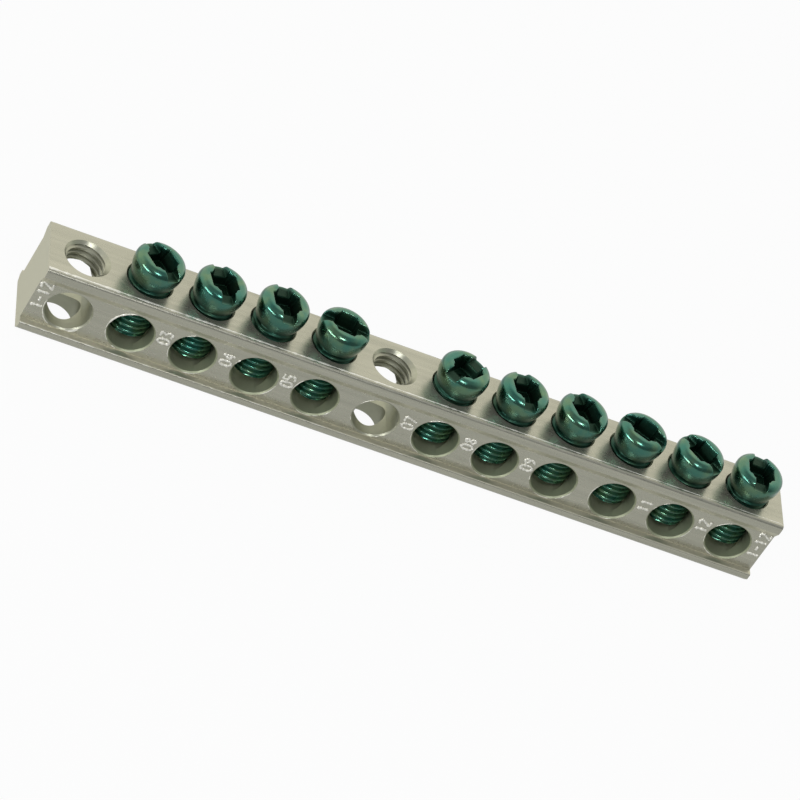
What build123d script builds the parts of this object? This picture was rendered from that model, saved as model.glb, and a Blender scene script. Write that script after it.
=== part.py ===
from build123d import *
import os

# Earth terminal bar. Millimetres: X runs along the bar, wires enter from the front at -Y, and the
# screws stand along +Z. The origin is the middle of the underside of the bar.

# Row of wire positions
hole_pitch = 9.0
position_count = 12
vacant_positions = (1, 6)
end_margin = 5.4

# Extruded section of the bar
bar_height = 11.3
web_depth = 8.6
lip_proud = 0.75
lip_height = 1.4
lip_slope_height = 1.2
lip_edge_radius = 0.45
lip_root_radius = 0.4
bead_front_proud = 1.1
bead_back_proud = 0.75
bead_height = 1.7
bead_edge_radius = 0.25
bead_base_chamfer = 0.75

# Holes in the bar
wire_bore = 6.3
wire_bore_height = 5.15
wire_rim_chamfer = 0.2
tap_drill = 5.5
fixing_hole = 5.0
vacant_rim_chamfer = 0.6
clamp_rim_chamfer = 0.2
clamp_hole_rise = 0.3
overrun = 1.0

# Clamp screw
screw_diameter = 6.35
screw_clearance = 0.05
shank_length = 9.3
tip_chamfer = 0.5
head_diameter = 7.2
head_height = 3.1
head_rim_radius = 1.1
head_under_chamfer = 0.4
slot_width = 1.8
slot_depth = 1.0
recess_span = 4.0
recess_floor_span = 2.8
recess_arm_width = 2.4
recess_depth = 2.2

# Each screw as the bar was left: how far it is backed off the floor of its wire bore, as a share of
# that bore, and the way its slot points, in degrees from the length of the bar.
lift_shares = (0.19, 0.175, 0.23, 0.195, 0.18, 0.165, 0.175, 0.195, 0.155, 0.20)
slot_angles = (123, 104, 99, 171, 47, 101, 114, 154, 134, 88)

bar_length = (position_count - 1) * hole_pitch + 2 * end_margin
wire_bore_floor = wire_bore_height - wire_bore / 2
clamp_bore = screw_diameter + 2 * screw_clearance
clamp_hole_floor = wire_bore_floor + clamp_hole_rise
first_position_x = -(position_count - 1) * hole_pitch / 2

os.makedirs("parts", exist_ok=True)


def position_x(number):
    return first_position_x + (number - 1) * hole_pitch


screw_positions = [n for n in range(1, position_count + 1) if n not in vacant_positions]

# The bar: one extrusion with a lip along each upper edge and a bead along each lower edge
with BuildPart() as terminal_bar:
    with BuildSketch(Plane.YZ) as section:
        web_face = web_depth / 2
        lip_face = web_face + lip_proud
        lip_root = bar_height - lip_height - lip_slope_height
        with BuildLine():
            Polyline(
                (-web_face - bead_front_proud, 0),
                (-web_face - bead_front_proud, bead_height),
                (-web_face, bead_height),
                (-web_face, lip_root),
                (-lip_face, lip_root + lip_slope_height),
                (-lip_face, bar_height),
                (lip_face, bar_height),
                (lip_face, lip_root + lip_slope_height),
                (web_face, lip_root),
                (web_face, bead_height),
                (web_face + bead_back_proud, bead_height),
                (web_face + bead_back_proud, 0),
                close=True,
            )
        make_face()
    extrude(amount=bar_length / 2, both=True)

    long_edges = terminal_bar.edges().filter_by(Axis.X)
    edges_by_height = long_edges.group_by(Axis.Z)
    base_edges, bead_edges, root_edges, slope_edges, top_edges = edges_by_height
    bead_outer_edges = ShapeList([bead_edges.sort_by(Axis.Y)[0], bead_edges.sort_by(Axis.Y)[-1]])
    chamfer(base_edges, length=bead_base_chamfer)
    fillet(bead_outer_edges, radius=bead_edge_radius)
    fillet(root_edges + slope_edges, radius=lip_root_radius)
    fillet(top_edges, radius=lip_edge_radius)

    # Wire bores, right through from the front face to the back
    with BuildSketch(Plane.XZ) as wire_bore_row:
        with Locations((0, wire_bore_height)):
            with GridLocations(hole_pitch, hole_pitch, position_count, 1):
                Circle(wire_bore / 2)
    extrude(amount=web_depth / 2 + overrun, both=True, mode=Mode.SUBTRACT)
    web_rims = terminal_bar.edges().filter_by(GeomType.CIRCLE).filter_by_position(
        Axis.Z, wire_bore_floor, wire_bore_height + wire_bore / 2)
    wire_rims = web_rims.group_by(Axis.Y)[0] + web_rims.group_by(Axis.Y)[-1]
    chamfer(wire_rims, length=wire_rim_chamfer)

    # Clamp screw holes, from the top down through the wire bore to just above its floor
    with BuildSketch(Plane.XY.offset(bar_height)) as clamp_hole_row:
        with Locations(*[(position_x(n), 0) for n in screw_positions]):
            Circle(clamp_bore / 2)
    extrude(amount=clamp_hole_floor - bar_height, mode=Mode.SUBTRACT)

    # Vacant positions are tapped from the top into the wire bore, and below it a plain hole goes
    # on through the base, for a screw that holds the bar down
    with BuildSketch(Plane.XY.offset(bar_height)) as tapped_hole_row:
        with Locations(*[(position_x(n), 0) for n in vacant_positions]):
            Circle(tap_drill / 2)
    extrude(amount=wire_bore_height - bar_height, mode=Mode.SUBTRACT)
    with BuildSketch(Plane.XY) as fixing_hole_row:
        with Locations(*[(position_x(n), 0) for n in vacant_positions]):
            Circle(fixing_hole / 2)
    extrude(amount=wire_bore_height, mode=Mode.SUBTRACT)

    # Rims of the holes in the top face
    top_rims = terminal_bar.edges().filter_by(GeomType.CIRCLE).group_by(Axis.Z)[-1]
    rims_by_radius = top_rims.group_by(SortBy.RADIUS)
    chamfer(rims_by_radius[0], length=vacant_rim_chamfer)
    chamfer(rims_by_radius[-1], length=clamp_rim_chamfer)

terminal_bar.part.label = "terminal_bar"
export_step(terminal_bar.part, "parts/terminal_bar.step")

# The clamp screw, with the underside of its head at height zero: a turned blank, a slot right
# across the head and a cross recess in the middle of it, with wings that run out towards the top
with BuildPart() as clamp_screw:
    with BuildSketch(Plane.XZ) as blank:
        with BuildLine():
            Polyline(
                (0, -shank_length),
                (screw_diameter / 2 - tip_chamfer, -shank_length),
                (screw_diameter / 2, -shank_length + tip_chamfer),
                (screw_diameter / 2, 0),
                (head_diameter / 2 - head_under_chamfer, 0),
                (head_diameter / 2, head_under_chamfer),
                (head_diameter / 2, head_height),
                (0, head_height),
                close=True,
            )
        make_face()
    revolve(axis=Axis.Z)
    fillet(clamp_screw.edges().group_by(Axis.Z)[-1], radius=head_rim_radius)

    with BuildSketch(Plane.XY.offset(head_height)) as slot:
        Rectangle(head_diameter + overrun, slot_width)
    extrude(amount=-slot_depth, mode=Mode.SUBTRACT)

    recess_floor = head_height - recess_depth
    for upright in (Plane.XZ, Plane.YZ):
        with BuildSketch(upright) as wing_pair:
            with BuildLine():
                Polyline(
                    (-recess_span / 2, head_height),
                    (-recess_floor_span / 2, recess_floor),
                    (recess_floor_span / 2, recess_floor),
                    (recess_span / 2, head_height),
                    close=True,
                )
            make_face()
        extrude(amount=recess_arm_width / 2, both=True, mode=Mode.SUBTRACT)

# Ten of these screws stand in the bar, each at its own height and turn
for count, number in enumerate(screw_positions):
    name = f"terminal_screw_{count + 1:02d}"
    tip_height = wire_bore_floor + lift_shares[count] * wire_bore
    seat = Location((position_x(number), 0, tip_height + shank_length), (0, 0, slot_angles[count]))
    with BuildPart() as terminal_screw:
        with Locations(seat):
            add(clamp_screw.part)
    terminal_screw.part.label = name
    export_step(terminal_screw.part, f"parts/{name}.step")
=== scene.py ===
# %% [markdown]
# # An earth terminal bar, dressed in Blender
#
# The real object is one length of plated metal bar. Twelve wire holes cross it from front to back,
# and ten green clamp screws stand in it from the top. Two positions have no screw, so their tapped
# holes show. This lesson takes the solids of the bar as a fixed frame, cuts the fine screw threads
# that the solids leave plain, stamps small numbers, leaves some burr on the edges, and then finds a
# finish for each metal.

# %% Load the frame
import math

import bmesh
import bpy
import numpy as np
from mathutils import Matrix, Vector


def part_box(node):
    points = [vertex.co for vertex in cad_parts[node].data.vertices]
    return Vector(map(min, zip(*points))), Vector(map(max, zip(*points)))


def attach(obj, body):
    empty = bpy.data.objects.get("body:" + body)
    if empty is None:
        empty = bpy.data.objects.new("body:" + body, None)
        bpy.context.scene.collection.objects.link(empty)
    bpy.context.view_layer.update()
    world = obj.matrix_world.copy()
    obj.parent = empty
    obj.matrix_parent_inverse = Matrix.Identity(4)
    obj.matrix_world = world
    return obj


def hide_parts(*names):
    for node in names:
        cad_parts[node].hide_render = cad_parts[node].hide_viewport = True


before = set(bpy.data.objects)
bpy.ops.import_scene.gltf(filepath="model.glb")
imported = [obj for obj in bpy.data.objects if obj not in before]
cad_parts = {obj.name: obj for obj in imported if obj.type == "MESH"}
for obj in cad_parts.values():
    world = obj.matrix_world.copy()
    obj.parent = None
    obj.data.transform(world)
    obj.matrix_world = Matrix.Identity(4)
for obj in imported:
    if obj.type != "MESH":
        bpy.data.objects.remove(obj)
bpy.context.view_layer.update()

# %% [markdown]
# ## Units and places
#
# Every length in this scene is in metres. The bar is small, so it helps to write its sizes in
# millimetres and to multiply them by one named unit. The places of the screws come from the frame.

# %% Units and places
MM = 0.001

bar_low, bar_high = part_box("terminal_bar")
screw_names = sorted(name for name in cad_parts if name.startswith("terminal_screw"))
bar_top = bar_high.z
hole_pitch = 9.0 * MM
position_count = 12
first_hole_x = -(position_count - 1) / 2 * hole_pitch


def position_x(number):
    """Where a position of the row stands along the bar."""
    return first_hole_x + (number - 1) * hole_pitch


print("screws", len(screw_names), "bar top at", round(bar_top / MM, 2), "mm")

# %% [markdown]
# ## The camera
#
# The photograph was taken from well away with a long lens, so the bar hardly narrows with distance.
# The camera was also turned about its own axis, which makes the bar run down across the picture. A
# camera is easy to place by the point that it aims at, how far away it stands, how high it looks
# down from, how far round it has gone, and its roll.

# %% The camera
camera_aim = Vector((-2.16, -2.32, 8.0)) * MM
camera_distance = 676.1 * MM
camera_elevation = math.radians(37.27)
camera_azimuth = math.radians(-22.83)
camera_roll = math.radians(33.61)
camera_lens = 226.1
sensor_width = 36.0

camera_data = bpy.data.cameras.new("camera")
camera_data.lens = camera_lens
camera_data.sensor_width = sensor_width
camera_data.clip_start = 0.05
camera_data.clip_end = 20.0
camera = bpy.data.objects.new("camera", camera_data)
bpy.context.scene.collection.objects.link(camera)
towards_camera = Vector((
    math.sin(camera_azimuth) * math.cos(camera_elevation),
    -math.cos(camera_azimuth) * math.cos(camera_elevation),
    math.sin(camera_elevation),
))
level_view = (-towards_camera).to_track_quat("-Z", "Y").to_matrix()
camera.matrix_world = Matrix.Translation(camera_aim + towards_camera * camera_distance) @ (
    level_view @ Matrix.Rotation(camera_roll, 3, "Z")
).to_4x4()
bpy.context.scene.camera = camera
print("camera stands at", [round(v / MM, 1) for v in camera.matrix_world.translation], "mm")

# %% [markdown]
# The standard view shows each colour about as it is written, with no film look over it. That makes
# it easy to compare a rendered patch of metal with the same patch in the photograph.

# %% Colour management
bpy.context.scene.view_settings.view_transform = "Standard"
print("view transform", bpy.context.scene.view_settings.view_transform)

# %% [markdown]
# ## Helpers for meshes
#
# Three small helpers do most of the modelling. One turns rings of points into a closed skin, as a
# lathe or a loft would. One cuts a piece with another by an exact boolean. One gives a mesh smooth
# shading, with its true corners kept sharp.

# %% A new piece, and a skin through rings
def new_piece(name, mesh):
    """An object for a mesh, in the scene."""
    piece = bpy.data.objects.new(name, mesh)
    bpy.context.scene.collection.objects.link(piece)
    return piece


def mesh_from_rings(name, rings):
    """A closed skin through rings of points. Every ring has the same number of points."""
    around = len(rings[0])
    points = [tuple(p) for ring in rings for p in ring]
    faces = []
    for row in range(len(rings) - 1):
        for i in range(around):
            j = (i + 1) % around
            start = row * around
            faces.append((start + i, start + j, start + around + j, start + around + i))
    last = (len(rings) - 1) * around
    faces.append(tuple(reversed(range(around))))
    faces.append(tuple(range(last, last + around)))
    mesh = bpy.data.meshes.new(name)
    mesh.from_pydata(points, [], faces)
    mesh.update()
    return mesh


# %% Cutting and shading
def cut(piece, cutters):
    """Takes the cutters away from the piece, and deletes them."""
    for cutter in cutters:
        step = piece.modifiers.new("cut", "BOOLEAN")
        step.operation = "DIFFERENCE"
        step.solver = "EXACT"
        step.object = cutter
    depsgraph = bpy.context.evaluated_depsgraph_get()
    mesh = bpy.data.meshes.new_from_object(piece.evaluated_get(depsgraph))
    piece.modifiers.clear()
    piece.data = mesh
    for cutter in cutters:
        bpy.data.objects.remove(cutter)


def smooth(piece, sharp_angle):
    """Smooth shading, apart from corners sharper than an angle in degrees."""
    piece.data.polygons.foreach_set("use_smooth", [True] * len(piece.data.polygons))
    piece.data.set_sharp_from_angle(angle=math.radians(sharp_angle))


# %% [markdown]
# ## The thread
#
# A screw thread is a ridge wound round a cylinder. Its form can be written as a radius that depends
# on the height and on the angle: going once round moves the ridge up by one lead. Points on a grid
# of heights and angles, each at that radius, make the thread in one skin. The same function makes
# the outside thread of a screw and the tap that cuts an inside thread. This bar has a fine inch
# thread, a quarter of an inch across with 28 ridges to the inch.

# %% The thread
INCH = 25.4 * MM
thread_lead = INCH / 28
thread_radius = INCH / 4 / 2
thread_depth = 0.58 * thread_lead
crest_share = 1 / 8
root_share = 1 / 4
turn_steps = 96
lead_steps = 12


def ridge_share(turn):
    """How much of the ridge's height stands at a point, given as a share of a lead."""
    from_crest = abs(turn % 1.0 - 0.5)
    flank = 0.5 - crest_share / 2 - root_share / 2
    return min(1.0, max(0.0, (0.5 - root_share / 2 - from_crest) / flank))


def thread_point(core, depth, height, angle):
    """A point on a right-hand thread about the Z axis."""
    radius = core + depth * ridge_share(height / thread_lead - angle / math.tau)
    return (radius * math.cos(angle), radius * math.sin(angle), height)


angles = [math.tau * i / turn_steps for i in range(turn_steps)]
print("lead", round(thread_lead / MM, 3), "mm, depth", round(thread_depth / MM, 3), "mm")

# %% [markdown]
# ## The bar
#
# The solids hold the bar's section, its twelve wire holes and its upright holes. What is missing is
# the thread in the two vacant positions, which runs from the top face into the wire hole. A tap is
# a screw whose ridges are a little proud of the drilled hole, so taking it away from a copy of the
# bar leaves the grooves of the thread. The form of a thread is exact, so a boolean suits it.

# %% The bar
vacant_positions = (1, 6)
wire_hole_height = 5.15 * MM
weld_distance = 0.0005 * MM


def bare_copy(node, name):
    """A welded copy of one solid's mesh, without its stored normals."""
    source = bmesh.new()
    source.from_mesh(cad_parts[node].data)
    bmesh.ops.remove_doubles(source, verts=source.verts, dist=weld_distance)
    mesh = bpy.data.meshes.new(name)
    source.to_mesh(mesh)
    source.free()
    for layer in ("custom_normal", "sharp_edge", "sharp_face"):
        if layer in mesh.attributes:
            mesh.attributes.remove(mesh.attributes[layer])
    mesh.materials.clear()
    return new_piece(name, mesh)


def tap(number):
    """A tap standing in one of the vacant holes, with its tip in the wire hole."""
    core = thread_radius - thread_depth
    turns = math.ceil((bar_top - wire_hole_height) / thread_lead) + 1
    heights = [wire_hole_height + i * thread_lead / lead_steps for i in range(turns * lead_steps)]
    rings = [[thread_point(core, thread_depth, z, a) for a in angles] for z in heights]
    cutter = new_piece("tap", mesh_from_rings("tap", rings))
    cutter.location.x = position_x(number)
    return cutter


bar = bare_copy("terminal_bar", "bar_with_threads")
cut(bar, [tap(number) for number in vacant_positions])
print("faces with the threads cut", len(bar.data.polygons))

# %% [markdown]
# ## Drilled walls and sawn ends, with painted shade and painted light
#
# A drill or a saw leaves a rougher skin than the die that shaped the bar, so the walls of the holes
# and the two ends look duller than the outside. Two values on each face say how drilled and how
# sawn it is, and the finish reads them later. So one material serves the whole bar. The first also
# gives the walls of the holes a darker olive colour, which is painted shade and the painted green
# reflection of the screws. The walls of the vacant positions are shinier and less darkened, their
# cut threads most of all. The inner corners of the section, where a lip or a bead meets the front,
# keep a duller skin, and the second value also mixes part of the paler end colour into them, which
# is painted light.

# %% Mark the drilled walls and the sawn ends, with their painted shade and painted light
front_face_y = -4.3 * MM
lip_face_y = -5.05 * MM
lip_root_height = 8.7 * MM
lip_slope_top = 9.9 * MM
bead_top = 1.7 * MM
touch = 0.01 * MM
ledge_reach = 0.1 * MM
thread_share = 0.25
vacant_share = 0.4
corner_light_share = 0.6
drilled_and_shaded = bar.data.attributes.new("drilled_and_shaded", "FLOAT", "FACE")
sawn_and_painted_light = bar.data.attributes.new("sawn_and_painted_light", "FLOAT", "FACE")
for face in bar.data.polygons:
    x, y, z = face.center
    at_end = abs(x) > bar_high.x - touch
    inside = abs(y) < abs(front_face_y) - touch and touch < z < bar_top - touch and not at_end
    from_vacant = min(abs(x - position_x(n)) for n in vacant_positions)
    in_thread = z > wire_hole_height and math.hypot(y, from_vacant) < thread_radius
    on_ledge = abs(z - bead_top) < ledge_reach and abs(y) > abs(front_face_y)
    below_lip = abs(front_face_y) < abs(y) < abs(lip_face_y) - touch
    on_slope = below_lip and lip_root_height < z < lip_slope_top
    if at_end:
        sawn_and_painted_light.data[face.index].value = 1.0
    elif on_ledge or on_slope:
        # Painted light: the inner corners get part of the paler end colour, which lightens them.
        sawn_and_painted_light.data[face.index].value = corner_light_share
    elif inside:
        share = 1.0
        if in_thread:
            share = thread_share
        elif from_vacant < hole_pitch / 2:
            share = vacant_share
        # The share also sets how much painted shade and painted green reflection the wall's colour
        # gets.
        drilled_and_shaded.data[face.index].value = share
print("faces in the holes", sum(item.value > 0 for item in drilled_and_shaded.data))

# %% [markdown]
# The rounded lips and beads should look round, and the mouths of the holes crisp. So the shading is
# smooth except at real corners. Weighted normals keep the large flat faces flat beside the rounds.

# %% Shade the bar and hand it over
bar_sharp_angle = 28
smooth(bar, bar_sharp_angle)
even = bar.modifiers.new("even", "WEIGHTED_NORMAL")
even.keep_sharp = True
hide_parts("terminal_bar")
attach(bar, "bar")
print("bar faces", len(bar.data.polygons))

# %% [markdown]
# ## Burr
#
# Sawing and drilling have left thin ridges of torn metal along the front edges of the bar and round
# the mouths of the wire holes. They are far too small for the solids, but they catch the light as
# broken bright lines. Each is a thin tube whose thickness changes at random along its path. A fixed
# seed gives the same burr each time.

# %% Tubes of uneven thickness
rng = np.random.default_rng(7)
tube_sides = 6
least_radius = 0.004 * MM


def lumpy_tube(name, path, across_one, across_two, thickness):
    """A tube along a path. A direction across it that is longer than one widens it that way."""
    path = np.asarray(path, float)
    rings = []
    for i, centre in enumerate(path):
        radius = max(thickness[i], least_radius)
        one = np.asarray(across_one[i], float)
        two = np.asarray(across_two[i], float)
        turns = [math.tau * k / tube_sides for k in range(tube_sides)]
        around = [math.cos(a) * one + math.sin(a) * two for a in turns]
        rings.append([tuple(centre + radius * outward) for outward in around])
    mesh = mesh_from_rings(name, rings)
    mesh.polygons.foreach_set("use_smooth", [True] * len(mesh.polygons))
    return mesh


def uneven(count, low, high, smoothness):
    """Random thicknesses that change slowly along a row of points."""
    coarse = rng.uniform(low, high, count // smoothness + 3)
    return np.interp(np.arange(count) / smoothness, np.arange(len(coarse)), coarse)


def joined_piece(name, meshes):
    """Many small meshes as one piece, which moves with the bar."""
    joined = bmesh.new()
    for mesh in meshes:
        joined.from_mesh(mesh)
        bpy.data.meshes.remove(mesh)
    whole = bpy.data.meshes.new(name)
    joined.to_mesh(whole)
    joined.free()
    piece = new_piece(name, whole)
    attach(piece, "bar")
    return piece


# %% [markdown]
# The burr along the top edge is wide and pressed flat, and lies just behind the rounded corner. The
# one along the bead is thin and round. Both fade towards the right end, where the edge was cleaner.

# %% Burr along the front edges
edge_steps = 420
edge_step_grain = 2
edge_end_inset = 0.05 * MM
bead_face_y = -5.4 * MM
edge_burr_y = -4.35 * MM
top_burr_radius = (0.015 * MM, 0.06 * MM)
top_burr_width = 5.0
top_burr_fading = 0.7
bead_inset = 0.1 * MM
bead_burr_radius = (0.0, 0.09 * MM)
bead_burr_fading = 0.8


def edge_burr(y, z, radius, width, fading):
    """Burr along the whole bar at one edge, so many times as wide as it is high."""
    low, high = radius
    xs = np.linspace(bar_low.x + edge_end_inset, bar_high.x - edge_end_inset, edge_steps)
    fade = 1.0 - fading * np.linspace(0, 1, edge_steps)
    thickness = uneven(edge_steps, low, high, edge_step_grain) * fade
    path = [(x, y, z) for x in xs]
    level, upright = [(0, width, 0)] * edge_steps, [(0, 0, 1)] * edge_steps
    return lumpy_tube("edge", path, level, upright, thickness)


burr_pieces = [joined_piece("edge_burr", [
    edge_burr(edge_burr_y, bar_top, top_burr_radius, top_burr_width, top_burr_fading),
    edge_burr(
        bead_face_y + bead_inset, bead_top - bead_inset, bead_burr_radius, 1.0, bead_burr_fading
    ),
])]
print("edge burr faces", len(burr_pieces[0].data.polygons))

# %% [markdown]
# Round a hole the burr comes in short arcs. The second hole has a long bright one at the upper
# left, and the first has two below it. Every hole gets a few more, at places drawn at random.

# %% Burr round the mouths of the wire holes
wire_hole_radius = 3.15 * MM
arcs_for_each_hole = 4
arc_outside = 0.2 * MM


def rim_burr(number, start, sweep, high, outside):
    """Burr round part of a wire hole's mouth, from an angle in degrees, anticlockwise from +X."""
    count = max(6, int(abs(sweep) / 4))
    turns = np.radians(np.linspace(start, start + sweep, count))
    radius = wire_hole_radius + outside
    pinch = np.sin(np.linspace(0, math.pi, count)) ** 0.5
    thickness = uneven(count, 0.4 * high, high, 2) * pinch
    centre_x = position_x(number)
    outward = [(math.cos(a), 0, math.sin(a)) for a in turns]
    path = [
        (centre_x + radius * x, front_face_y, wire_hole_height + radius * z) for x, _, z in outward
    ]
    return lumpy_tube("rim", path, outward, [(0, 1, 0)] * count, thickness)


rim_meshes = [
    rim_burr(2, start=95, sweep=95, high=0.2 * MM, outside=0.22 * MM),
    rim_burr(1, start=215, sweep=30, high=0.16 * MM, outside=0.3 * MM),
    rim_burr(1, start=290, sweep=25, high=0.16 * MM, outside=0.35 * MM),
]
for number in range(1, position_count + 1):
    for _ in range(arcs_for_each_hole):
        start = rng.uniform(60, 330)
        sweep = rng.uniform(10, 50)
        high = rng.uniform(0.06, 0.12) * MM
        rim_meshes.append(rim_burr(number, start, sweep, high, arc_outside))
burr_pieces.append(joined_piece("rim_burr", rim_meshes))
print("arcs of burr", len(rim_meshes))

# %% [markdown]
# ## Stamped numbers
#
# Small position numbers are stamped in the front face, turned to read upwards, a little above the
# middle of the holes. The ends have the range of the whole row. A punch throws up a thin ridge of
# bright metal along each stroke, and that ridge is what shows, so the strokes are laid on the face
# as uneven tubes. Each figure is drawn on a grid two units wide and four units high.

# %% The strokes of the figures
strokes = {
    "0": [[
        (0.6, 0), (1.4, 0), (2, 0.8), (2, 3.2), (1.4, 4), (0.6, 4), (0, 3.2), (0, 0.8), (0.6, 0),
    ]],
    "1": [[(0.4, 3.2), (1, 4), (1, 0)]],
    "2": [[(0, 3.4), (0.5, 4), (1.6, 4), (2, 3.2), (0, 0), (2, 0)]],
    "3": [[(0, 4), (2, 4), (1, 2.3), (2, 1.6), (1.8, 0.3), (0.8, 0), (0, 0.4)]],
    "4": [[(1.5, 0), (1.5, 4), (0, 1.2), (2, 1.2)]],
    "5": [[(2, 4), (0, 4), (0, 2.3), (1.4, 2.4), (2, 1.4), (1.5, 0.2), (0, 0)]],
    "7": [[(0, 4), (2, 4), (0.7, 0)]],
    "8": [[(1, 2.1), (0.1, 3.1), (1, 4), (1.9, 3.1), (1, 2.1), (0, 1), (1, 0), (2, 1), (1, 2.1)]],
    "9": [[(1.9, 2.6), (0.9, 2), (0, 3), (0.9, 4), (1.9, 3.2), (1.7, 1.2), (0.5, 0)]],
    "-": [[(0.2, 2), (1.8, 2)]],
}
figure_width = 2
figure_height = 4
print("figures", len(strokes))

# %% Stamp the numbers
figure_unit = 0.41 * MM
figure_advance = 3.0
stroke_thickness = 0.26 * MM
thinnest_share = 0.35
stroke_step = 0.1 * MM
stamp_height = 6.35 * MM
end_stamp_inset = 1.12 * MM
stamped_after = (2, 3, 4, 6, 7, 8, 10, 11)


def stamp(text, x):
    """The raised strokes of a line of text that reads upwards on the front face."""
    meshes = []
    length = (len(text) - 1) * figure_advance + figure_width
    for place, figure in enumerate(text):
        for stroke in strokes[figure]:
            for (u0, v0), (u1, v1) in zip(stroke[:-1], stroke[1:]):
                count = max(4, int(math.hypot(u1 - u0, v1 - v0) * figure_unit / stroke_step))
                path = []
                for share in np.linspace(0, 1, count):
                    along = place * figure_advance + u0 + (u1 - u0) * share - length / 2
                    up = v0 + (v1 - v0) * share - figure_height / 2
                    path.append((
                        x - up * figure_unit, front_face_y, stamp_height + along * figure_unit
                    ))
                run = Vector(path[-1]) - Vector(path[0])
                side = run.normalized().cross(Vector((0, 1, 0)))
                thinnest = thinnest_share * stroke_thickness
                thickness = uneven(count, thinnest, stroke_thickness, 1)
                sides, outwards = [side] * count, [(0, 1, 0)] * count
                meshes.append(lumpy_tube("stroke", path, sides, outwards, thickness))
    return meshes


stamp_meshes = []
for end_x in (bar_low.x + end_stamp_inset, bar_high.x - end_stamp_inset):
    stamp_meshes += stamp(f"1-{position_count}", end_x)
for number in stamped_after:
    stamp_meshes += stamp(f"{number + 1:02d}", position_x(number) + hole_pitch / 2)
burr_pieces.append(joined_piece("stamped_numbers", stamp_meshes))
print("burr pieces", len(burr_pieces), "faces", sum(len(p.data.polygons) for p in burr_pieces))

# %% [markdown]
# ## The clamp screws
#
# Each screw is one piece of steel: a threaded shank with a blunt tip, and a cylindrical head with
# a rounded rim. The head has a straight slot right across it, and a deeper cross recess in the
# middle of it, so that either kind of driver fits.
#
# The head was pressed and not milled, so none of its edges is quite sharp. That makes a height map
# better than a boolean. One function gives the height of the dome, one of the slot and one of the
# recess. The lowest of the three counts, and a soft minimum rounds the edges where two meet.

# %% The sizes of the head's top
head_radius = 3.6 * MM
head_height = 3.1 * MM
rim_radius = 1.1 * MM
slot_width = 1.8 * MM
slot_depth = 1.0 * MM
recess_span = 4.0 * MM
recess_floor_span = 2.8 * MM
recess_arm_width = 2.4 * MM
recess_depth = 2.2 * MM
wall_slope = 7.0
edge_softness = 0.12 * MM
pip_height = 0.3 * MM
pip_radius = 0.35 * MM
print("recess floor", round((head_height - recess_depth) / MM, 2), "mm above the head's underside")

# %% The height of the head's top
def soft_min(a, b, softness):
    """The lower of two heights, rounded off where they are close to each other."""
    share = np.clip(0.5 + 0.5 * (b - a) / softness, 0.0, 1.0)
    return b + (a - b) * share - softness * share * (1.0 - share)


def dome_height(radius):
    """The flat crown, and the round rim outside it."""
    into_rim = np.clip(radius - (head_radius - rim_radius), 0.0, rim_radius)
    return head_height - rim_radius + np.sqrt(rim_radius ** 2 - into_rim ** 2)


def wall(distance):
    """How far a steep wall has risen at a distance beyond its foot."""
    return wall_slope * np.maximum(distance, 0.0)


def wing_height(along, across):
    """Two opposite wings of the recess, whose floors lean up to the crown."""
    lean = recess_depth / ((recess_span - recess_floor_span) / 2)
    beyond_floor = np.maximum(np.abs(along) - recess_floor_span / 2, 0.0)
    floor = head_height - recess_depth + lean * beyond_floor
    return floor + wall(np.abs(across) - recess_arm_width / 2)


def top_height(x, y):
    """The height of the head's top, with a small pip in the middle of the recess."""
    radius = np.hypot(x, y)
    slot = head_height - slot_depth + wall(np.abs(y) - slot_width / 2)
    recess = np.minimum(wing_height(x, y), wing_height(y, x))
    recess = recess + pip_height * np.exp(-(radius / pip_radius) ** 2)
    height = soft_min(dome_height(radius), slot, edge_softness)
    return soft_min(height, recess, edge_softness)


# %% [markdown]
# ## Turning a screw
#
# A screw is round, so it is built as rings that climb along its axis. The rings of the shank follow
# the thread. Near the head the thread runs out, and from there the head flares out in a soft curve,
# as pressed steel does. The rings then turn inwards over the top and take the height map's heights.

# %% Turn the shank
shank_length = 9.3 * MM
tip_chamfer = 0.5 * MM
neck_length = 0.35 * MM
thread_runout = 0.4 * MM
tip_ring_shares = (0.2, 0.8)


def ring(radius, height):
    """A plain flat ring of the shank's tip."""
    return [(radius * math.cos(a), radius * math.sin(a), height) for a in angles]


def shank_ring(height):
    """A ring of the threaded shank. The grooves run out below the head, and the tip is blunt."""
    depth = thread_depth * min(1.0, max(0.0, (-height - neck_length) / thread_runout))
    tip_limit = thread_radius - tip_chamfer + (height + shank_length)
    points = []
    for a in angles:
        x, y, z = thread_point(thread_radius - depth, depth, height, a)
        share = min(1.0, tip_limit / math.hypot(x, y))
        points.append((x * share, y * share, z))
    return points


def shank_mesh():
    """The threaded shank, from its tip to just inside the head."""
    steps = int(shank_length / thread_lead * lead_steps)
    rings = [ring(share * thread_radius, -shank_length) for share in tip_ring_shares]
    rings += [shank_ring(-shank_length + shank_length * i / steps) for i in range(steps + 1)]
    return mesh_from_rings("shank", rings)


shank = shank_mesh()
print("shank faces", len(shank.polygons))

# %% Turn the head
core_share = 0.3
flare_low = -0.25 * MM
flare_high = 1.7 * MM
flare_steps = 12
rim_steps = 22
crown_step = 0.07 * MM
head_turn_steps = 288


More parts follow.
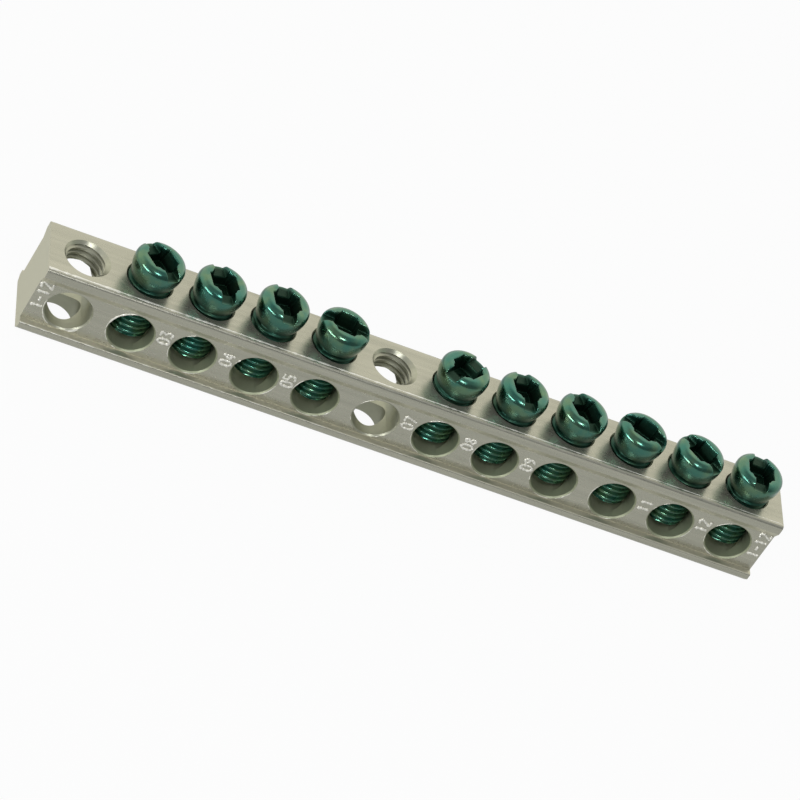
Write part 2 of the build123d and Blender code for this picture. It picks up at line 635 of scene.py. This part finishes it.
def head_mesh():
    """The head, as rings that flare out from the shank and then shrink to its middle."""
    turns = np.arange(head_turn_steps) * math.tau / head_turn_steps
    cosines, sines = np.cos(turns), np.sin(turns)

    def flat_ring(radius, height):
        heights = np.full(head_turn_steps, height)
        return np.stack([radius * cosines, radius * sines, heights], axis=1)

    def top_ring(radius):
        x, y = radius * cosines, radius * sines
        return np.stack([x, y, top_height(x, y)], axis=1)

    rings = [flat_ring(core_share * head_radius, flare_low)]
    for i in range(flare_steps + 1):
        share = i / flare_steps
        radius = thread_radius + (head_radius - thread_radius) * math.sin(math.pi / 2 * share)
        rings.append(flat_ring(radius, flare_low + (flare_high - flare_low) * share))
    crown_radius = head_radius - rim_radius
    for i in range(rim_steps):
        rings.append(top_ring(crown_radius + rim_radius * math.cos(math.pi / 2 * i / rim_steps)))
    crown_rings = int(crown_radius / crown_step)
    for i in range(crown_rings):
        rings.append(top_ring(crown_radius * (1 - i / crown_rings)))
    return mesh_from_rings("head", rings)


head = head_mesh()
print("head faces", len(head.polygons))

# %% Join the two into one mesh for all the screws
screw_sharp_angle = 70
joined = bmesh.new()
for part in (shank, head):
    joined.from_mesh(part)
    bpy.data.meshes.remove(part)
screw_mesh = bpy.data.meshes.new("clamp_screw")
joined.to_mesh(screw_mesh)
joined.free()
screw_mesh.polygons.foreach_set("use_smooth", [True] * len(screw_mesh.polygons))
screw_mesh.set_sharp_from_angle(angle=math.radians(screw_sharp_angle))
print("screw faces", len(screw_mesh.polygons))

# %% [markdown]
# Painted shade darkens the screw where a room's light hardly reaches: deep in the slot and the
# recess, and low on the side of the head and just below it. A value from 0 to 1 at each point of
# the mesh says how much painted shade the point gets, and the finish below uses it. That takes less
# work than a picture painted with the shade.

# %% How much painted shade each point gets
full_shade_depth = 0.9 * MM
hollow_shade_share = 0.95
side_heights = [h * MM for h in (-9.3, -3.0, -1.6, -0.2, 0.5, 2.2)]
side_shade_shares = [0.0, 0.15, 0.85, 0.6, 0.25, 0.0]
side_band = 0.7 * MM

coordinates = np.empty(len(screw_mesh.vertices) * 3)
screw_mesh.vertices.foreach_get("co", coordinates)
x, y, z = coordinates.reshape(-1, 3).T
radius = np.hypot(x, y)
dome = dome_height(np.minimum(radius, head_radius))
# Painted shade in the slot and the recess, fuller the deeper a point lies below the dome.
hollow_shade = np.clip((dome - z) / full_shade_depth, 0.0, 1.0) * hollow_shade_share
# Painted shade low on the head's side and just below it, and a little on the thread further down.
side_shade = np.interp(z, side_heights, side_shade_shares)
is_side = (radius > head_radius - side_band) & (z < head_height - rim_radius)
sheltered = np.where(is_side | (z < flare_low), side_shade, hollow_shade)
screw_mesh.attributes.new("sheltered", "FLOAT", "POINT").data.foreach_set("value", sheltered)
print("sheltered share", round(float(sheltered.mean()), 2))

# %% [markdown]
# The ten screws share one mesh, so that a change of it shows in all of them. Their places and
# heights come from the frame. The real ones were left pointing every way, so each has its own turn.

# %% Stand the screws in the bar
slot_angles = (123, 104, 99, 171, 47, 101, 114, 154, 134, 88)
for name, angle in zip(screw_names, slot_angles):
    number = name[-2:]
    low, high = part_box(name)
    piece = new_piece(f"clamp_screw_{number}", screw_mesh)
    piece.location = ((low.x + high.x) / 2, (low.y + high.y) / 2, high.z - head_height)
    piece.rotation_euler.z = math.radians(angle)
    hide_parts(name)
    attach(piece, f"screw_{number}")
print("screws", len(slot_angles), "users of their mesh", screw_mesh.users)

# %% [markdown]
# ## Finishes
#
# A metal shows mostly what it reflects, so its finish is a colour for the reflection, a roughness
# that says how blurred the reflection is, and small bumps that break it up. All three come from
# noise that follows each object, so no picture is needed and nothing repeats. The helpers below
# make the noise, turn it into colours and values, and mix in what the meshes hold.

# %% A new material, and noise for it
def new_material(name):
    material = bpy.data.materials.new(name)
    material.use_nodes = True
    nodes = material.node_tree.nodes
    shader = nodes["Principled BSDF"]
    return material, nodes, material.node_tree.links, shader


def noise(nodes, links, stretch, scale, detail=3.0, roughness=0.5):
    """Noise over the object's own place, with the scale in bumps for each millimetre. Each object
    takes its own part of the noise, so that no two screws are alike."""
    place = nodes.new("ShaderNodeTexCoord")
    mapping = nodes.new("ShaderNodeMapping")
    mapping.inputs["Scale"].default_value = [s / MM for s in stretch]
    which = nodes.new("ShaderNodeObjectInfo")
    apart = nodes.new("ShaderNodeVectorMath")
    apart.operation = "SCALE"
    apart.inputs[0].default_value = (60.0, 40.0, 20.0)
    links.new(which.outputs["Random"], apart.inputs["Scale"])
    links.new(apart.outputs["Vector"], mapping.inputs["Location"])
    texture = nodes.new("ShaderNodeTexNoise")
    texture.inputs["Scale"].default_value = scale
    texture.inputs["Detail"].default_value = detail
    texture.inputs["Roughness"].default_value = roughness
    links.new(place.outputs["Object"], mapping.inputs["Vector"])
    links.new(mapping.outputs["Vector"], texture.inputs["Vector"])
    return texture.outputs["Fac"]


# %% Colours and values from noise
def ramp(nodes, links, factor, stops):
    """A colour ramp with stops of (place, colour)."""
    node = nodes.new("ShaderNodeValToRGB")
    while len(node.color_ramp.elements) < len(stops):
        node.color_ramp.elements.new(0.5)
    for element, (place, colour) in zip(node.color_ramp.elements, stops):
        element.position = place
        element.color = (*colour, 1.0)
    links.new(factor, node.inputs["Fac"])
    return node.outputs["Color"]


def spread(nodes, links, factor, low, high):
    """Turns a factor from about 0.3 to 0.7 into a value from low to high."""
    node = nodes.new("ShaderNodeMapRange")
    node.inputs["From Min"].default_value = 0.3
    node.inputs["From Max"].default_value = 0.7
    node.inputs["To Min"].default_value = low
    node.inputs["To Max"].default_value = high
    links.new(factor, node.inputs["Value"])
    return node.outputs["Result"]


# %% Mixing by the values that a mesh holds
def marked(nodes, name):
    """The value that a mesh holds under a name, as a shader output."""
    node = nodes.new("ShaderNodeAttribute")
    node.attribute_name = name
    return node.outputs["Fac"]


def between(nodes, links, share, low, high):
    """A value that goes from low to high with a share. Low may be a shader output."""
    node = nodes.new("ShaderNodeMix")
    links.new(share, node.inputs["Factor"])
    if hasattr(low, "is_output"):
        links.new(low, node.inputs["A"])
    else:
        node.inputs["A"].default_value = low
    node.inputs["B"].default_value = high
    return node.outputs["Result"]


def between_colours(nodes, links, share, low, high):
    """A colour that goes from a shader output to a plain colour with a share."""
    node = nodes.new("ShaderNodeMix")
    node.data_type = "RGBA"
    links.new(share, node.inputs["Factor"])
    links.new(low, node.inputs[6])
    node.inputs[7].default_value = (*high, 1.0)
    return node.outputs[2]


# %% [markdown]
# ## The bar's finish
#
# The bar is plated aluminium with a satin skin. Noise drawn out along the bar gives the long die
# lines and faint streaks in the colour. The walls of the holes and the sawn ends have roughnesses
# of their own. The sawn ends also have a paler colour of their own, and the inner corners take part
# of it as painted light. The walls of the holes take a darker olive colour, which is painted shade
# and painted green reflection of the screws. The two values on each face mix these in.

# %% The bar's plated aluminium
# The paler colour of the sawn ends; the inner corners get part of it as painted light.
end_and_corner_light_colour = (0.74, 0.72, 0.58)
# Painted shade and painted green reflection of the screws, for the walls of the holes.
hole_shade_colour = (0.41, 0.44, 0.31)


def bump(nodes, links, shader, height, distance, strength):
    """Small bumps on a material's surface, of a distance in metres."""
    node = nodes.new("ShaderNodeBump")
    node.inputs["Distance"].default_value = distance
    node.inputs["Strength"].default_value = strength
    links.new(height, node.inputs["Height"])
    links.new(node.outputs["Normal"], shader.inputs["Normal"])


bar_metal, nodes, links, shader = new_material("plated_aluminium")
in_hole = marked(nodes, "drilled_and_shaded")
streaks = noise(nodes, links, (0.04, 1.0, 1.0), 1.2, detail=4.0)
bar_colours = [(0.3, (0.46, 0.455, 0.385)), (0.7, (0.54, 0.53, 0.45))]
plating = ramp(nodes, links, streaks, bar_colours)
at_end = marked(nodes, "sawn_and_painted_light")
# The sawn ends take the paler end colour, and the inner corners take part of it as painted light.
outside = between_colours(nodes, links, at_end, plating, end_and_corner_light_colour)
# The hole walls go over to the darker olive colour, which is painted shade and reflection.
everywhere = between_colours(nodes, links, in_hole, outside, hole_shade_colour)
links.new(everywhere, shader.inputs["Base Color"])
links.new(between(nodes, links, in_hole, 0.84, 0.75), shader.inputs["Metallic"])
mottle = noise(nodes, links, (0.5, 1.0, 1.0), 1.5, detail=3.0)
outside_roughness = between(nodes, links, at_end, spread(nodes, links, mottle, 0.24, 0.32), 0.5)
links.new(between(nodes, links, in_hole, outside_roughness, 0.5), shader.inputs["Roughness"])
die_lines = noise(nodes, links, (0.03, 2.0, 2.0), 3.0, detail=4.0)
bump(nodes, links, shader, die_lines, 0.01 * MM, 0.2)
bar.data.materials.clear()
bar.data.materials.append(bar_metal)
print("bar finish nodes", len(nodes))

# %% [markdown]
# The tools broke through the plating, so the burr shows bare metal. It is paler than the bar, and
# only half metallic, so that it stays bright whatever it reflects.

# %% Bare metal, on the burr
bare_metal, nodes, links, shader = new_material("bare_aluminium")
shader.inputs["Base Color"].default_value = (0.9, 0.89, 0.82, 1.0)
shader.inputs["Metallic"].default_value = 0.5
shader.inputs["Roughness"].default_value = 0.35
for piece in burr_pieces:
    piece.data.materials.append(bare_metal)
print("burr pieces with bare metal", len(burr_pieces))

# %% [markdown]
# ## The screws' finish
#
# The screws are zinc plated steel under a clear green dye, which is thicker in some places than in
# others. Slow noise and a colour ramp let it wander from blue green to olive. A clear coat over it
# gives the open faces a second, softer shine. Where the mesh holds painted shade, the colour goes
# over to a dark green, rougher and without the coat.

# %% The screws' green dyed zinc
screw_metal, nodes, links, shader = new_material("green_dyed_zinc")
shader.inputs["Metallic"].default_value = 1.0
dye = noise(nodes, links, (1.0, 1.0, 1.0), 0.45, detail=2.0)
dye_colours = [
    (0.32, (0.03, 0.185, 0.145)),
    (0.5, (0.055, 0.195, 0.14)),
    (0.68, (0.115, 0.235, 0.135)),
]
shade_share = marked(nodes, "sheltered")
dyed = ramp(nodes, links, dye, dye_colours)
# Painted shade: where the share is high the dye goes over to this near black green.
painted_shade_colour = (0.014, 0.038, 0.024)
links.new(between_colours(nodes, links, shade_share, dyed, painted_shade_colour), shader.inputs["Base Color"])
smudges = noise(nodes, links, (1.0, 1.0, 1.0), 1.1, detail=4.0)
open_roughness = spread(nodes, links, smudges, 0.16, 0.28)
links.new(between(nodes, links, shade_share, open_roughness, 0.45), shader.inputs["Roughness"])
bump(nodes, links, shader, smudges, 0.07 * MM, 0.6)
links.new(between(nodes, links, shade_share, 0.8, 0.0), shader.inputs["Coat Weight"])
shader.inputs["Coat Roughness"].default_value = 0.2
screw_mesh.materials.clear()
screw_mesh.materials.append(screw_metal)
print("screw finish nodes", len(nodes))

# %% [markdown]
# ## The floor
#
# The photograph has a plain white ground. The floor here is pale, and for the camera it is mixed
# with plain white, so that it reads as white but still shows the bar's soft shadow. Metal sees
# mostly an even grey glow there, which keeps the lower half of its reflections calm. The kind of
# each ray decides, so no second floor is needed.

# %% The floor
floor_size = 3.0
floor_drop = 0.02 * MM
floor_mesh = bpy.data.meshes.new("floor")
half = floor_size / 2
corners = [(-half, -half, 0), (half, -half, 0), (half, half, 0), (-half, half, 0)]
floor_mesh.from_pydata(corners, [], [(0, 1, 2, 3)])
floor = new_piece("floor", floor_mesh)
floor.location.z = -floor_drop
print("floor", floor_size, "m wide,", floor_drop / MM, "mm below the bar")

# %% The floor's paint
floor_paint, nodes, links, shader = new_material("pale_floor")
shader.inputs["Base Color"].default_value = (0.54, 0.56, 0.57, 1.0)
shader.inputs["Roughness"].default_value = 0.8
rays = nodes.new("ShaderNodeLightPath")


def mixed_for(ray, share, under, colour):
    """A plain glow of a colour, mixed over a shader by a share for one kind of ray."""
    glow = nodes.new("ShaderNodeEmission")
    glow.inputs["Color"].default_value = (*colour, 1.0)
    part = nodes.new("ShaderNodeMath")
    part.operation = "MULTIPLY"
    part.inputs[1].default_value = share
    mixed = nodes.new("ShaderNodeMixShader")
    links.new(rays.outputs[ray], part.inputs[0])
    links.new(part.outputs["Value"], mixed.inputs["Fac"])
    links.new(under, mixed.inputs[1])
    links.new(glow.outputs["Emission"], mixed.inputs[2])
    return mixed.outputs["Shader"]


seen_by_metal = mixed_for("Is Glossy Ray", 0.8, shader.outputs["BSDF"], (0.59, 0.6, 0.57))
seen_by_camera = mixed_for("Is Camera Ray", 0.95, seen_by_metal, (1.0, 1.0, 1.0))
links.new(seen_by_camera, nodes["Material Output"].inputs["Surface"])
floor_mesh.materials.append(floor_paint)
print("floor paint nodes", len(nodes))

# %% [markdown]
# ## The room
#
# Bare metal looks like the room round it, so this room is made for the metal. Its back wall is warm
# and bright, and the top face of the bar shows it. The side behind the camera is darker, which
# draws the dark lines in rounded edges, and the ceiling is dim. Only reflections see the room. The
# camera sees plain white, and all other light is an even white fill.

# %% The room's walls and ceiling
camera_side = (0.18, 0.19, 0.19)
back_wall = (1.0, 0.98, 0.86)
ceiling = (0.36, 0.37, 0.36)
world = bpy.data.worlds.new("studio")
bpy.context.scene.world = world
world.use_nodes = True
nodes = world.node_tree.nodes
links = world.node_tree.links
place = nodes.new("ShaderNodeTexCoord")
parts = nodes.new("ShaderNodeSeparateXYZ")
links.new(place.outputs["Generated"], parts.inputs["Vector"])


def blend(value, low, high, colour_low, colour_high):
    """A colour that changes evenly while a value goes from low to high."""
    share = nodes.new("ShaderNodeMapRange")
    share.inputs["From Min"].default_value = low
    share.inputs["From Max"].default_value = high
    links.new(value, share.inputs["Value"])
    mix = nodes.new("ShaderNodeMix")
    mix.data_type = "RGBA"
    links.new(share.outputs["Result"], mix.inputs["Factor"])
    for socket, colour in ((mix.inputs[6], colour_low), (mix.inputs[7], colour_high)):
        if hasattr(colour, "is_output"):
            links.new(colour, socket)
        else:
            socket.default_value = (*colour, 1.0)
    return mix.outputs[2]


walls = blend(parts.outputs["Y"], -0.5, 0.45, camera_side, back_wall)
studio = blend(parts.outputs["Z"], 0.74, 0.94, walls, ceiling)
print("room nodes", len(nodes))

# %% What each kind of ray sees
room = nodes["Background"]
room.inputs["Strength"].default_value = 1.0
links.new(studio, room.inputs["Color"])
backdrop = nodes.new("ShaderNodeBackground")
backdrop.inputs["Color"].default_value = (1.0, 1.0, 1.0, 1.0)
backdrop.inputs["Strength"].default_value = 1.0
soft_fill = nodes.new("ShaderNodeBackground")
soft_fill.inputs["Color"].default_value = (1.0, 1.0, 1.0, 1.0)
soft_fill.inputs["Strength"].default_value = 0.6
rays = nodes.new("ShaderNodeLightPath")
for_metal = nodes.new("ShaderNodeMixShader")
links.new(rays.outputs["Is Glossy Ray"], for_metal.inputs["Fac"])
links.new(soft_fill.outputs["Background"], for_metal.inputs[1])
links.new(room.outputs["Background"], for_metal.inputs[2])
mixed = nodes.new("ShaderNodeMixShader")
links.new(rays.outputs["Is Camera Ray"], mixed.inputs["Fac"])
links.new(for_metal.outputs["Shader"], mixed.inputs[1])
links.new(backdrop.outputs["Background"], mixed.inputs[2])
links.new(mixed.outputs["Shader"], nodes["World Output"].inputs["Surface"])
print("fill strength", round(soft_fill.inputs["Strength"].default_value, 2))

# %% [markdown]
# ## The lamps
#
# Two lamps make the glints. A long strip stands low at the left front, and its reflection runs
# along the rounded edges. A smaller lamp stands high in front, for the tops of the heads. Both have
# a size, so their shadows are soft.

# %% The lamps
lamp_distance = 0.8


def soft_lamp(name, place, width, height, power):
    """An oblong lamp at a place in metres, aimed at the bar."""
    data = bpy.data.lights.new(name, "AREA")
    data.shape = "RECTANGLE"
    data.size = width
    data.size_y = height
    data.energy = power
    lamp = bpy.data.objects.new(name, data)
    bpy.context.scene.collection.objects.link(lamp)
    lamp.location = place
    lamp.rotation_euler = (-Vector(place)).to_track_quat("-Z", "Y").to_euler()
    return lamp


def direction(azimuth, elevation, distance):
    """A place that far from the bar. The azimuth goes from the front towards the right."""
    a, e = math.radians(azimuth), math.radians(elevation)
    return (
        distance * math.sin(a) * math.cos(e),
        -distance * math.cos(a) * math.cos(e),
        distance * math.sin(e),
    )


lamps = [
    soft_lamp("left_strip_lamp", direction(-60, 24, lamp_distance), 0.5, 0.09, 2.0),
    soft_lamp("front_lamp", direction(-3, 57, lamp_distance), 0.14, 0.14, 1.2),
]
print("lamps", [lamp.name for lamp in lamps])
